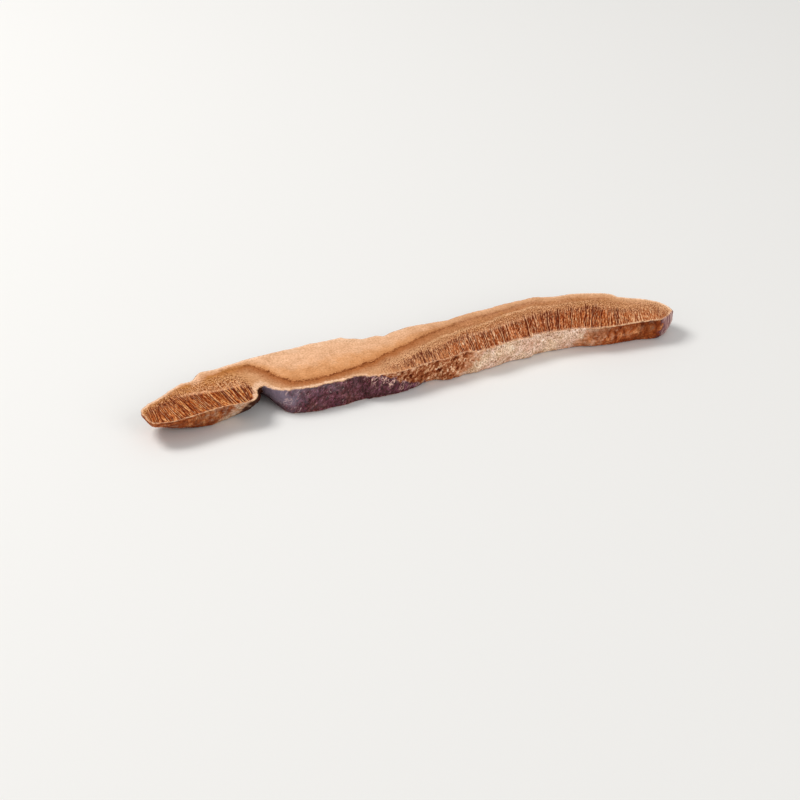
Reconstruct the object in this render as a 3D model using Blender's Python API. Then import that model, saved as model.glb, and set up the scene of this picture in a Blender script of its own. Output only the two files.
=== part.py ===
"""One dried slice of a wild reishi (lingzhi) cap, lying on its flat lower cut face.

The slice is a single grown thing: pale flesh under the hard crust, a layer of fine tubes
below it, and the pore surface where the tubes end.  Metres, +Z up.  X runs along the slice,
+Y points to the crust, and the origin is the bottom centre of the slice's own box.
"""
import bmesh
import bpy
import numpy as np
from mathutils import Vector, noise

# ---- driving dimensions, in millimetres -------------------------------------------------
MM = 0.001
THICKNESS = 5.8            # from cut face to cut face
HALF_LENGTH = 65.0         # from the middle to either tip
EDGE_ROUND = 0.3           # how much the sharp edges of the cut are worn off
TUBE_SINK = 0.3            # the tube layer shrinks most as it dries, below the flesh
FURROW_DEPTH = 0.45        # open tubes on the upper cut face
SECTIONS = 236             # cross-sections along the slice
SEED = 41                  # which tubes were opened deep by the knife

# Lines across the upper face along the grain of the tubes:
# x and y on the crust edge, then x and y on the pore edge.
GRAIN_LINES = (
    (-64.9, -6.3, -65.0, -6.9),
    (-64.7, -5.7, -64.7, -8.2),
    (-64.3, -5.1, -64.3, -10.0),
    (-63.3, -4.2, -63.8, -11.4),
    (-62.2, -3.3, -62.7, -12.1),
    (-60.3, -2.4, -61.0, -12.5),
    (-58.7, -1.4, -59.3, -12.6),
    (-56.9, 0.2, -57.2, -12.4),
    (-55.2, 1.3, -55.3, -12.0),
    (-53.6, 2.3, -53.5, -11.5),
    (-51.3, 2.5, -51.1, -11.0),
    (-50.3, 3.3, -50.0, -10.8),
    (-49.2, 4.7, -48.9, -10.6),
    (-47.8, 5.6, -47.4, -10.4),
    (-44.4, 5.8, -44.2, -10.4),
    (-42.2, 6.4, -42.0, -10.4),
    (-40.6, 6.7, -40.3, -10.2),
    (-39.6, 6.9, -39.1, -9.3),
    (-38.9, 7.1, -38.5, -7.9),
    (-38.2, 7.3, -38.3, -6.5),
    (-37.3, 7.5, -37.4, -5.4),
    (-36.2, 7.7, -36.3, -5.0),
    (-35.1, 7.9, -35.4, -6.2),
    (-34.0, 8.0, -34.5, -7.2),
    (-32.3, 8.2, -32.9, -8.0),
    (-30.4, 8.5, -31.1, -8.6),
    (-27.0, 8.7, -28.0, -8.8),
    (-23.5, 9.1, -24.6, -9.0),
    (-20.6, 9.5, -21.8, -8.5),
    (-17.6, 9.5, -18.9, -8.4),
    (-14.8, 9.7, -15.9, -7.7),
    (-13.4, 9.9, -13.6, -8.0),
    (-12.2, 9.0, -12.7, -8.8),
    (-10.4, 8.3, -11.3, -9.0),
    (-8.9, 7.6, -9.9, -9.3),
    (-5.6, 7.9, -6.7, -9.3),
    (-3.7, 7.2, -5.0, -9.2),
    (-1.9, 8.1, -3.2, -9.0),
    (0.8, 8.8, -0.9, -8.5),
    (3.0, 9.3, 1.2, -7.8),
    (6.0, 9.5, 4.3, -7.5),
    (9.3, 9.5, 7.0, -7.5),
    (12.6, 9.4, 9.9, -6.6),
    (15.0, 10.0, 12.0, -6.2),
    (17.8, 10.6, 14.6, -6.5),
    (20.4, 10.9, 16.9, -6.5),
    (23.0, 11.0, 19.2, -6.2),
    (28.5, 11.9, 23.9, -4.9),
    (33.8, 12.4, 28.4, -4.8),
    (35.6, 12.6, 29.8, -4.1),
    (38.5, 11.9, 32.3, -4.1),
    (42.4, 11.2, 35.8, -4.5),
    (44.3, 11.3, 37.6, -4.6),
    (48.5, 10.3, 41.1, -4.9),
    (53.0, 8.7, 45.3, -6.3),
    (54.4, 7.7, 47.4, -6.9),
    (55.1, 6.4, 49.6, -7.4),
    (56.8, 5.3, 52.2, -7.0),
    (58.9, 4.3, 54.8, -6.7),
    (60.9, 3.1, 57.3, -6.9),
    (62.2, 1.8, 59.0, -7.3),
    (63.5, 0.1, 60.5, -7.3),
    (64.3, -1.9, 62.2, -6.4),
    (64.8, -3.2, 63.6, -5.7),
    (65.0, -4.2, 64.8, -4.8),
)

# How far the foot of the pore wall stands from its upper edge: x of the edge, shift in x and y.
PORE_FOOT = (
    (-65.0, 2.6, 1.8),
    (-64.0, 2.0, 3.4),
    (-61.0, 0.6, 4.2),
    (-57.0, 0.0, 3.8),
    (-53.5, 0.0, 2.9),
    (-50.0, 0.2, 2.4),
    (-47.5, 0.6, 3.0),
    (-44.0, 1.4, 4.6),
    (-41.5, 1.6, 5.6),
    (-39.1, 1.6, 6.6),
    (-38.3, 1.8, 6.2),
    (-36.3, 1.0, 5.6),
    (-35.4, 1.1, 4.6),
    (-34.5, 1.2, 2.0),
    (-32.9, 1.0, -0.6),
    (-31.1, 0.4, -1.0),
    (-28.0, 0.0, -1.3),
    (-20.0, 0.0, -1.6),
    (-16.0, 0.0, -1.6),
    (-11.5, 0.0, -0.3),
    (-3.0, 0.0, 0.2),
    (2.5, 0.0, 1.0),
    (8.4, 0.0, -0.5),
    (12.5, 0.0, -0.5),
    (17.0, 0.0, 0.5),
    (26.0, 0.0, 0.2),
    (36.5, 0.0, 0.9),
    (46.0, -0.2, 1.6),
    (50.0, -0.4, 2.2),
    (55.0, -0.6, 1.4),
    (59.0, -0.7, 1.2),
    (62.5, -1.2, 1.2),
    (64.8, -1.7, 0.3),
)

# The same for the crust wall, on the far side.
CRUST_FOOT = (
    (-64.9, 2.5, 1.8),
    (-64.3, 2.2, 0.8),
    (-62.2, 1.2, 0.0),
    (-58.7, 0.4, -0.4),
    (-47.0, 0.0, 0.3),
    (-40.0, 0.0, 0.5),
    (-30.0, 0.0, 0.2),
    (-13.0, 0.0, -0.8),
    (-4.0, 0.0, 0.5),
    (15.0, 0.0, 0.0),
    (35.0, 0.0, -0.9),
    (50.0, 0.0, 0.2),
    (58.0, -0.6, 0.0),
    (62.0, -1.1, -0.2),
    (65.0, -1.8, 0.5),
)

# How far the lower face curls up from the table: x, lift.
CURL = ((-65.0, 2.2), (-61.0, 1.7), (-57.0, 1.0), (-53.0, 0.4), (-48.0, 0.0),
        (58.0, 0.0), (61.5, 0.3), (65.0, 0.8))

# Where the tubes start, as a share of the way from the crust to the pores: x on the crust, share.
# A share of 1 is a stretch with no tubes.
TUBE_START = ((-65.0, 0.3), (-60.0, 0.2), (-52.0, 0.32), (-44.0, 0.34), (-40.0, 0.42),
              (-38.2, 0.75), (-37.0, 1.0), (-12.0, 1.0), (-8.9, 0.82), (0.8, 0.7),
              (12.6, 0.5), (23.0, 0.44), (33.0, 0.37), (47.0, 0.33), (65.0, 0.34))

TUBE_FADE = 0.3            # tubes shorter than this share of the way are shallow
LAST_START = 0.9           # no row of points is nearer the pore edge than this share
TIP_FADE = 3.0             # tubes nearer than this to a tip are shallow too

# The pore side is torn and pitted between these two places, most in the middle.
TORN_FROM = -13.0
TORN_TO = 17.0
TORN_DEPTH = 1.3
BULGE = 0.5                # both walls swell a little between the cut faces
GROWTH_RIDGE = 0.55        # growth ridges of the crust, which cross the wall from face to face
WARP = 0.5                 # the upper face sinks in broad dips, at most this much
WARP_LENGTH = 14.0

# Rows of the cross-section, as shares of the height of a wall.
WALL_ROWS = (0.07, 0.28, 0.52, 0.76, 0.94)
WORN_BAND = 0.25           # the edges are worn round over this share of the wall


def curve_through(knots, values, at):
    """Smooth curve through the given values that never overshoots them."""
    knots = np.asarray(knots, float)
    values = np.asarray(values, float)
    step = np.diff(knots)
    slope = np.diff(values) / step
    tangent = np.zeros(len(knots))
    same_way = slope[:-1] * slope[1:] > 0
    weight_a = 2 * step[1:] + step[:-1]
    weight_b = step[1:] + 2 * step[:-1]
    safe_a = np.where(same_way, slope[:-1], 1.0)
    safe_b = np.where(same_way, slope[1:], 1.0)
    middle = (weight_a + weight_b) / (weight_a / safe_a + weight_b / safe_b)
    tangent[1:-1] = np.where(same_way, middle, 0.0)
    tangent[0] = slope[0]
    tangent[-1] = slope[-1]
    at = np.clip(at, knots[0], knots[-1])
    i = np.clip(np.searchsorted(knots, at) - 1, 0, len(step) - 1)
    t = (at - knots[i]) / step[i]
    rise = t * t * (3 - 2 * t)
    leave = t * (1 - t) ** 2 * step[i] * tangent[i]
    arrive = t * t * (t - 1) * step[i] * tangent[i + 1]
    return values[i] * (1 - rise) + values[i + 1] * rise + leave + arrive


def keyed(table, column, at):
    """One column of a table of hand-chosen values, read at the given places."""
    table = np.array(table)
    return curve_through(table[:, 0], table[:, column], at)


def section_lines():
    """Crust-edge and pore-edge points of every cross-section, evenly spaced along the slice."""
    lines = np.array(GRAIN_LINES)
    crust_step = np.hypot(*np.diff(lines[:, 0:2], axis=0).T)
    pore_step = np.hypot(*np.diff(lines[:, 2:4], axis=0).T)
    along = np.concatenate(([0.0], np.cumsum(np.maximum(crust_step, pore_step))))
    at = np.linspace(0.0, along[-1], SECTIONS)
    columns = [curve_through(along, lines[:, c], at) for c in range(4)]
    return np.stack(columns[0:2], 1), np.stack(columns[2:4], 1)


def facing(edge, side):
    """Unit directions out of the slice along one of its edges: side 1 is the crust, -1 the pores."""
    along = np.gradient(edge, axis=0)
    across = side * np.stack((-along[:, 1], along[:, 0]), 1)
    return across / np.hypot(*across.T)[:, None]


def lumps(x, y, z, size, seed):
    """Soft random lumps between -1 and 1, about the given size across."""
    return noise.noise(Vector((x / size + seed, y / size, z / size)))


def tornness(x):
    """1 in the middle of the torn stretch of the pore side, 0 outside it."""
    share = (x - TORN_FROM) / (TORN_TO - TORN_FROM)
    return max(0.0, 4 * share * (1 - share))


def pore_wall_relief(x, z):
    """How far the pore side stands out: torn pits and ledges, or a softly uneven surface."""
    pits = lumps(x, 0, 2 * z, 2.3, 5.0) - abs(lumps(x, 3, z, 1.5, 9.0))
    ledge = lumps(x - 0.8 * z, 0, 0, 3.4, 14.0)
    return tornness(x) * TORN_DEPTH * (pits + 0.5 * ledge) + 0.3 * lumps(x, 0, z, 4.0, 21.0)


def crust_wall_relief(x, z):
    """Growth ridges across the crust wall, unevenly spaced, with fine lumps on them."""
    ridge = 0.4 - abs(lumps(x + 0.25 * z, 0, 0.3 * z, 3.6, 33.0))
    return GROWTH_RIDGE * ridge + 0.2 * lumps(x, 0, z, 1.7, 44.0)


def upper_height(x, y):
    """Height of the upper face, which sinks in broad dips."""
    return THICKNESS - WARP * max(0.0, lumps(x, y, 0, WARP_LENGTH, 50.0))


def wall_points(edge, foot, outward, lift, relief):
    """Points of one wall of a cross-section, from the upper edge to the foot."""
    points = []
    for share in WALL_ROWS:
        z = upper_height(*edge) * (1 - share) + lift * share
        worn = max(0.0, 1.0 - min(share, 1 - share) / WORN_BAND)
        out = np.sin(np.pi * share) * (BULGE + relief(edge[0], z)) - worn * EDGE_ROUND
        points.append((*(edge + share * (foot - edge) + outward * out), z))
    return points


def upper_points(crust, pore, start, furrow):
    """Points of the upper face, from inside the crust edge to inside the pore edge."""
    from_tip = HALF_LENGTH - abs(crust[0])
    tubes = min(1.0, (1.0 - start) / TUBE_FADE, from_tip / TIP_FADE)
    rows = (
        (0.0, 0.0),
        (0.5 * start, 0.0),
        (start, 0.0),
        (start + 0.15 * (1 - start), TUBE_SINK + furrow),
        (start + 0.55 * (1 - start), TUBE_SINK + furrow),
        (start + 0.9 * (1 - start), TUBE_SINK + 0.7 * furrow),
        (1.0, TUBE_SINK / 3),
    )
    points = []
    for share, sink in rows:
        x, y = crust + share * (pore - crust)
        points.append((x, y, upper_height(x, y) - tubes * sink))
    return points


def slice_rings():
    """Rings of points round every cross-section: upper face, pore wall, lower face, crust wall."""
    crust, pore = section_lines()
    crust_out = facing(crust, 1)
    pore_out = facing(pore, -1)
    crust_foot = crust + np.stack([keyed(CRUST_FOOT, c, crust[:, 0]) for c in (1, 2)], 1)
    pore_foot = pore + np.stack([keyed(PORE_FOOT, c, pore[:, 0]) for c in (1, 2)], 1)
    crust_lift = keyed(CURL, 1, crust[:, 0])
    pore_lift = keyed(CURL, 1, pore[:, 0])
    start = np.minimum(keyed(TUBE_START, 1, crust[:, 0]), LAST_START)
    chance = np.random.default_rng(SEED)
    rings = []
    for i in range(SECTIONS):
        furrow = FURROW_DEPTH * (i % 2) * chance.uniform(0.35, 1.0)
        inner_crust = crust[i] - EDGE_ROUND * crust_out[i]
        inner_pore = pore[i] - EDGE_ROUND * pore_out[i]
        ring = upper_points(inner_crust, inner_pore, start[i], furrow)
        ring += wall_points(pore[i], pore_foot[i], pore_out[i], pore_lift[i], pore_wall_relief)
        low_pore = np.array((*(pore_foot[i] - EDGE_ROUND * pore_out[i]), pore_lift[i]))
        low_crust = np.array((*(crust_foot[i] - EDGE_ROUND * crust_out[i]), crust_lift[i]))
        ring += [low_pore, (low_pore + low_crust) / 2, low_crust]
        ring += wall_points(crust[i], crust_foot[i], crust_out[i], crust_lift[i], crust_wall_relief)[::-1]
        rings.append(ring)
    return np.array(rings)


def centred(points):
    """The same points in metres, with the middle of their box over the origin, standing at 0."""
    low = points.reshape(-1, 3).min(axis=0)
    high = points.reshape(-1, 3).max(axis=0)
    return (points - ((low[0] + high[0]) / 2, (low[1] + high[1]) / 2, low[2])) * MM


def dried_flesh():
    """Tan flesh and brown tubes seen as one colour, dry and dull."""
    material = bpy.data.materials.new("dried_fungus")
    material.use_nodes = True
    shader = material.node_tree.nodes["Principled BSDF"]
    shader.inputs["Base Color"].default_value = (0.52, 0.27, 0.12, 1)
    shader.inputs["Roughness"].default_value = 0.72
    shader.inputs["Metallic"].default_value = 0.0
    return material


def reishi_slice():
    """The slice as one closed solid: rings joined into a skin, with both tips closed."""
    rings = centred(slice_rings())
    shell = bmesh.new()
    rows = [[shell.verts.new(point) for point in ring] for ring in rings]
    count = len(rows[0])
    for row, following in zip(rows, rows[1:]):
        for i in range(count):
            j = (i + 1) % count
            shell.faces.new((row[i], row[j], following[j], following[i]))
    shell.faces.new(rows[0][::-1])
    shell.faces.new(rows[-1])
    mesh = bpy.data.meshes.new("reishi_slice")
    shell.to_mesh(mesh)
    shell.free()
    mesh.materials.append(dried_flesh())
    mesh.shade_smooth()
    mesh.set_sharp_from_angle(angle=np.radians(40))
    slice_object = bpy.data.objects.new("reishi_slice", mesh)
    bpy.context.collection.objects.link(slice_object)
    return slice_object


for old in list(bpy.data.objects):
    bpy.data.objects.remove(old, do_unlink=True)
reishi_slice()
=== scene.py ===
"""A dried reishi slice lying on a pale table, in soft studio light."""
import math

import bpy
import numpy as np
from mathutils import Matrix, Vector


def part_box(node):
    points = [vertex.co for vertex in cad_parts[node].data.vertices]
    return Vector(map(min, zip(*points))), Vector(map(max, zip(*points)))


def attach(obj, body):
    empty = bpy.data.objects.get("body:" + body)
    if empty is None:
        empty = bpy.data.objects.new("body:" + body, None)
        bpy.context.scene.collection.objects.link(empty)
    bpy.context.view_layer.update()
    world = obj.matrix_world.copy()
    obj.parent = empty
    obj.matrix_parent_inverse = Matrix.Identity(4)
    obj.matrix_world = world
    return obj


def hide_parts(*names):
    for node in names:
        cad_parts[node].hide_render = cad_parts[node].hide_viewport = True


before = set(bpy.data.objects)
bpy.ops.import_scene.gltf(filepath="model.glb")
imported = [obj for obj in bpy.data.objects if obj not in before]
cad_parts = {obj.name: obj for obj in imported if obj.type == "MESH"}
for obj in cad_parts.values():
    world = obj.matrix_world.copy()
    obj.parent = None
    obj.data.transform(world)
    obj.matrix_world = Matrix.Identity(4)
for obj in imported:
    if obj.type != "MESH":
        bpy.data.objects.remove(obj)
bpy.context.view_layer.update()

MM = 0.001
CM = 10.0                  # millimetres in a centimetre, the unit of the grain's own map

# ---- the slice's shape, in millimetres -----------------------
THICKNESS = 5.8            # from cut face to cut face
EDGE_ROUND = 0.2           # how much the sharp edges of the cut are worn off
HALF_LENGTH = 65.0         # from the middle to either tip
SECTIONS = 930             # cross-sections along the slice
FACE_ROWS = 42             # points across the upper face
NEAR_ROWS = 22             # points down the near wall, with the pores
LOWER_ROWS = 22            # points across the lower face
FAR_ROWS = 18              # points down the far wall, with the crust
ROWS = (FACE_ROWS, NEAR_ROWS, LOWER_ROWS, FAR_ROWS)
RING = sum(ROWS)

# Lines across the upper face along the grain of the tubes:
# x and y on the crust edge, then x and y on the pore edge.
GRAIN_LINES = (
    (-64.9, -6.3, -65, -6.9), (-64.7, -5.7, -64.7, -8.2), (-64.3, -5.1, -64.3, -10),
    (-63.3, -4.2, -63.8, -11.4), (-62.2, -3.3, -62.7, -12.1), (-60.3, -2.4, -61, -12.5),
    (-58.7, -1.4, -59.3, -12.6), (-56.9, 0.2, -57.2, -12.4), (-55.2, 1.3, -55.3, -12),
    (-53.6, 2.3, -53.5, -11.5), (-51.3, 2.5, -51.1, -11), (-50.3, 3.3, -50, -10.8),
    (-49.2, 4.7, -48.9, -10.6), (-47.8, 5.6, -47.4, -10.4), (-44.4, 5.8, -44.2, -10.4),
    (-42.2, 6.4, -42, -10.4), (-40.6, 6.7, -40.3, -10.2), (-39.6, 6.9, -39.1, -9.3),
    (-38.9, 7.1, -38.5, -7.9), (-38.2, 7.3, -38.3, -6.5), (-37.3, 7.5, -37.4, -5.4),
    (-36.2, 7.7, -36.3, -5), (-35.1, 7.9, -35.4, -6.2), (-34, 8, -34.5, -7.2),
    (-32.3, 8.2, -32.9, -8), (-30.4, 8.5, -31.1, -8.6), (-27, 8.7, -28, -8.8),
    (-23.5, 9.1, -24.6, -9), (-20.6, 9.5, -21.8, -8.5), (-17.6, 9.5, -18.9, -8.4),
    (-14.8, 9.7, -15.9, -7.7), (-13.4, 9.9, -13.6, -8), (-12.2, 9, -12.7, -8.8),
    (-10.4, 8.3, -11.3, -9), (-8.9, 7.6, -9.9, -9.3), (-5.6, 7.9, -6.7, -9.3),
    (-3.7, 7.2, -5, -9.2), (-1.9, 8.1, -3.2, -9), (0.8, 8.8, -0.9, -8.5), (3, 9.3, 1.2, -7.8),
    (6, 9.5, 4.3, -7.5), (9.3, 9.5, 7, -7.5), (12.6, 9.4, 9.9, -6.6), (15, 10, 12, -6.2),
    (17.8, 10.6, 14.6, -6.5), (20.4, 10.9, 16.9, -6.5), (23, 11, 19.2, -6.2),
    (28.5, 11.9, 23.9, -4.9), (33.8, 12.4, 28.4, -4.8), (35.6, 12.6, 29.8, -4.1),
    (38.5, 11.9, 32.3, -4.1), (42.4, 11.2, 35.8, -4.5), (44.3, 11.3, 37.6, -4.6),
    (48.5, 10.3, 41.1, -4.9), (53, 8.7, 45.3, -6.3), (54.4, 7.7, 47.4, -6.4),
    (55.1, 6.4, 49.6, -6.6), (56.8, 5.3, 52.2, -6.6), (58.9, 4.3, 54.8, -6.7),
    (60.9, 3.1, 57.3, -6.9), (62.2, 2.1, 59, -7.2), (63.5, 0.9, 60.5, -7.2),
    (64.4, -0.7, 62.2, -6.5), (64.9, -2.2, 63.6, -5.6), (65, -3.5, 64.9, -4.2))

# How far the foot of the pore wall stands from its upper edge: x of the edge, shift in x and y.
PORE_FOOT = (
    (-65, 2.6, 1.8), (-64, 2, 3.4), (-61, 0.6, 4.2), (-57, 0, 3.8), (-53.5, 0, 2.9),
    (-50, 0.2, 2.4), (-47.5, 0.6, 3), (-44, 1.4, 4.6), (-41.5, 1.6, 5.6), (-39.1, 1.6, 6.6),
    (-38.3, 1.8, 6.2), (-36.3, 1, 5.6), (-35.4, 1.1, 4.6), (-34.5, 1.2, 2), (-32.9, 1, -0.6),
    (-31.1, 0.4, -1), (-28, 0, -1.3), (-20, 0, -1.6), (-16, 0, -1.6), (-11.5, 0, -0.3),
    (-3, 0, 0.2), (2.5, 0, 1), (8.4, 0, -0.5), (12.5, 0, -0.5), (17, 0, 0.5), (26, 0, 0.2),
    (36.5, 0, 0.9), (46, -0.2, 1.4), (50, -0.4, 1.2), (55, -0.6, 1.2), (59, -0.5, 1),
    (62.5, -0.5, 0.8), (64.8, -0.9, 0.3))

# The same for the crust wall, on the far side.
CRUST_FOOT = (
    (-64.9, 2.5, 1.8), (-64.3, 2.2, 0.8), (-62.2, 1.2, 0), (-58.7, 0.4, -0.4), (-47, 0, 0.3),
    (-40, 0, 0.5), (-30, 0, 0.2), (-13, 0, -0.8), (-4, 0, 0.5), (15, 0, 0), (35, 0, -0.9),
    (50, 0, 0.2), (58, -0.4, 0), (62, -0.6, -0.2), (65, -0.9, 0.3))

# How far the lower face curls up from the table: x, lift.
CURL = (
    (-65, 2.2), (-61, 1.7), (-57, 1), (-53, 0.4), (-48, 0), (60, 0), (62.5, 0.15), (65, 0.6))

# Where the tubes start: x on the crust, millimetres from the crust.
TUBE_START = (
    (-65, 1.2), (-62, 1.5), (-60, 2), (-58, 2.7), (-55, 3.6), (-53, 4), (-51, 4.4), (-49.5, 5),
    (-48, 5.2), (-45, 5.3), (-43, 5.6), (-41.5, 6), (-40.5, 6.8), (-39.8, 8.2), (-39.2, 12),
    (-38.8, 18), (-12, 18), (-10, 15), (-8, 13.2), (-5, 12), (0, 11.6), (2, 11.3), (5, 10.7),
    (8, 9.9), (10, 9.3), (12, 8.3), (14, 7.6), (18, 7.4), (20, 7.8), (22, 7.7), (24, 7.2),
    (26, 7.1), (28, 7.5), (30, 7), (34, 6.6), (38, 6.3), (40, 6), (42, 5.9), (45, 5.8), (48, 5.6),
    (50, 5.3), (52, 5.3), (54, 5), (56, 4.5), (58, 4), (60, 3.6), (62, 3.1), (64, 2.5), (65, 2))

# How much the tubes lean: x on the crust, how far left of straight across they start.
TUBE_LEAN = (
    (-65, 0), (-62, 0.5), (-58, 2), (-55, 2.5), (-49, 2.7), (-45, 2.4), (-41, 0.9), (-39, 0),
    (18, 0), (24, 0.3), (29, 0.6), (37, 0.8), (42, 0.5), (46, 0.3), (53, 0.45), (58, 0.4),
    (62, 0.1), (65, 0))

# Tubes that lie open over their whole length: x on the crust, half their width.
LONG_TUBES = (
    (-53.4, 0.1), (-42.4, 0.1), (-40.8, 0.13), (16.6, 0.1), (23.2, 0.09), (33.7, 0.17),
    (39.5, 0.12), (42.3, 0.11), (45.5, 0.1), (51, 0.11), (55.2, 0.09))

# The brown growth line in the flesh: x on the crust, millimetres from the crust, strength.
GROWTH_LINE = (
    (-65, 0.9, 0), (-60, 1.3, 0), (-52, 1.6, 0.05), (-50, 2.6, 0.05), (-46, 2.4, 0.1),
    (-42, 2.3, 0.1), (-39, 2.2, 0.3), (-37.5, 2.5, 0.7), (-36.5, 3.4, 0.8), (-35.5, 4.6, 0.7),
    (-34, 6.3, 1), (-33, 8, 1), (-32.3, 9.5, 0.9), (-31.5, 10.7, 0.7), (-30.7, 11.8, 0.8),
    (-30, 12.6, 0.9), (-29, 13.4, 1), (-27.5, 14.1, 0.9), (-26, 14.5, 0.9), (-24, 14.8, 0.8),
    (-20, 14.8, 0.9), (-18, 14.4, 0.9), (-16, 14, 0.9), (-14, 13.6, 0.8), (-13, 13, 0.8),
    (-12, 12.1, 0.9), (-11, 11.3, 0.9), (-10, 10.7, 1), (-8.5, 9.8, 0.9), (-6.5, 9, 0.8),
    (-4.5, 7.7, 0.8), (-3.5, 7.2, 0.8), (0, 7, 0.7), (3, 6.5, 0.6), (4, 6, 0.6), (6, 5.2, 0.7),
    (8, 4.3, 0.7), (10, 3.7, 0.7), (12, 3, 0.65), (15, 2.7, 0.5), (20, 2.7, 0.45), (28, 2.6, 0.4),
    (33, 2.2, 0.3), (40, 2.4, 0.1), (50, 2.6, 0.05), (60, 1.8, 0), (65, 0.8, 0))

# The soft reddish band under the growth line: x on the crust, strength.
BAND = (
    (-65, 0), (-41, 0), (-37, 0.45), (-30, 0.6), (-18, 0.65), (-14, 0.9), (-8, 0.8), (4, 0.5),
    (14, 0.15), (65, 0))

# A light line deeper in the flesh: x on the crust, millimetres from the crust, strength.
LIGHT_LINE = (
    (-65, 11, 0), (-6, 12.5, 0), (0, 11.4, 0.3), (3.7, 10, 0.7), (7.6, 7.9, 0.9), (11.6, 6.7, 1),
    (17.7, 6.5, 0.9), (23.7, 6, 1), (27.6, 5.2, 1), (31.5, 4.8, 0.9), (35.7, 4.5, 0.6),
    (42, 4.5, 0.35), (47, 4.2, 0.3), (52, 3, 0.2), (60, 2, 0), (65, 1, 0))

# The pale line where an older layer of tubes ends: x on the crust, millimetres from it, strength.
OLD_LAYER = (
    (-65, 3, 0), (-54.2, 5, 0), (-51.6, 4.9, 0.6), (-50.2, 5.8, 1), (-49, 7.3, 1), (-48, 8.1, 1),
    (-47, 8.4, 1), (-46, 8.6, 0.9), (-44.2, 8.7, 0.7), (-42, 9, 0.7), (-40.7, 9.2, 0.8),
    (-39.8, 9.9, 0.3), (-39, 10, 0), (15, 9.6, 0), (18, 9.4, 0.4), (22, 9.2, 0.5), (27, 8.9, 0.5),
    (33, 8.4, 0.5), (37, 7.8, 0.3), (39, 7.5, 0), (65, 7.5, 0))

# The thick pale flesh in the middle: x on the crust, how much of it shows.
PALE_FLESH = (
    (-65, 0), (-43, 0), (-38, 0.7), (-34, 1), (-5, 1), (2, 0.85), (8, 0.5), (14, 0.15), (20, 0),
    (65, 0))

# The cream rim under the crust: x on the crust, width.
CREAM_RIM = (
    (-65, 0.6), (-58, 0.8), (-52, 0.9), (-50, 1.6), (-48, 2.2), (-45, 1.9), (-43, 1.2), (-40, 1),
    (-32, 1.2), (-12, 1.2), (0, 1.4), (12, 1.2), (30, 1.1), (50, 1.2), (58, 1.4), (65, 1.2))

# The bright worn edge of the cut above the crust, with a painted highlight on it: x on the crust,
# strength.
BRIGHT_EDGE = (
    (-65, 0.7), (-40, 0.7), (-30, 0.4), (-5, 0.35), (5, 0.05), (37, 0.1), (41, 0.6), (47, 0.7),
    (57, 0.8), (61, 1), (65, 1))

# The cream line where the cut meets the near wall: x on the pore edge, width, strength.
PORE_LINE = (
    (-65, 0.3, 0.6), (-60, 0.2, 0.4), (-44, 0.25, 0.5), (-41, 0.5, 0.8), (-39.3, 1.2, 0.9),
    (-38.3, 2.2, 0.75), (-36.5, 2.6, 0.75), (-35, 1.3, 0.8), (-31, 0.8, 0.95), (-25, 0.9, 0.9),
    (-15, 0.9, 0.9), (-8, 0.6, 0.6), (4, 0.45, 0.3), (14, 0.7, 0.3), (20, 1, 0.35), (42, 1, 0.35),
    (50, 0.35, 0.4), (60, 0.35, 0.7), (65, 0.8, 1))

# The near wall from left to right: x of the pore edge, then how much of each shows there:
# smooth crust, torn skin, whitish pore skin, bruised pore skin, grey bloom with a painted bluish sheen of
# reflected light, dark stain with painted shade in the hollow by the notch.
NEAR_WALL = (
    (-65, 0, 0, 0, 1, 0, 0.15), (-52, 0, 0, 0, 1, 0, 0.35), (-49, 0, 0, 0, 0.9, 0, 0.35),
    (-47.5, 0, 0, 0.15, 0.9, 0, 0.4), (-46, 0, 0.1, 0.6, 0.8, 0, 0.3),
    (-43.5, 0, 0.1, 0.6, 0.8, 0, 0.4), (-42, 0, 0.1, 0, 1, 0, 1), (-37, 0.4, 0.1, 0, 0.8, 0, 1),
    (-36.2, 0.9, 0, 0, 0, 1, 0.6), (-35.3, 1, 0, 0, 0, 1.4, 0), (-33, 1, 0, 0, 0, 1.3, 0),
    (-30, 1, 0, 0, 0, 0.7, 0), (-27, 1, 0, 0, 0, 0.4, 0.1), (-24, 1, 0, 0, 0, 0.2, 0.1),
    (-19, 1, 0, 0, 0, 0.15, 0.1), (-16, 1, 0.05, 0, 0, 0, 0.2), (-13, 1, 0.05, 0, 0, 0, 0.4),
    (-10.5, 1, 0.15, 0, 0, 0.05, 0.15), (-6.5, 0.9, 0.5, 0, 0, 0.1, 0.05),
    (-4.5, 0.7, 0.7, 0, 0, 0.2, 0.05), (-3, 0.3, 0.9, 0, 0, 0.2, 0.05), (-1, 0, 1, 0, 0.2, 0, 0.1),
    (9, 0, 1, 0, 0.2, 0, 0), (10.5, 0, 0.6, 0.25, 0.1, 0, 0), (12, 0, 0.25, 0.35, 0.1, 0, 0),
    (13.5, 0, 0.1, 0.6, 0, 0, 0), (15, 0, 0, 1, 0, 0, 0), (38, 0, 0, 1, 0, 0, 0),
    (40, 0, 0.05, 0.6, 0.5, 0, 0), (42, 0, 0, 0.25, 0.9, 0, 0.1), (46, 0, 0, 0.2, 1, 0, 0),
    (49, 0, 0, 0.05, 1, 0, 0), (52, 0, 0, 0, 1, 0, 0), (54, 0.15, 0, 0, 0.9, 0, 0.15),
    (56, 0.2, 0, 0, 0.9, 0, 0.42), (59, 0.2, 0, 0, 0.9, 0, 0.3), (61, 0.6, 0, 0, 0.2, 0, 0.1),
    (62, 1, 0, 0, 0, 0, 0), (65, 1, 0, 0, 0, 0.1, 0))
SKINS = ("crust", "torn", "pale", "bruised", "bloom_and_sheen", "stain_and_shade")
FAR_SKIN = (1, 0, 0, 0, 0.1, 0.15)

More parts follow.
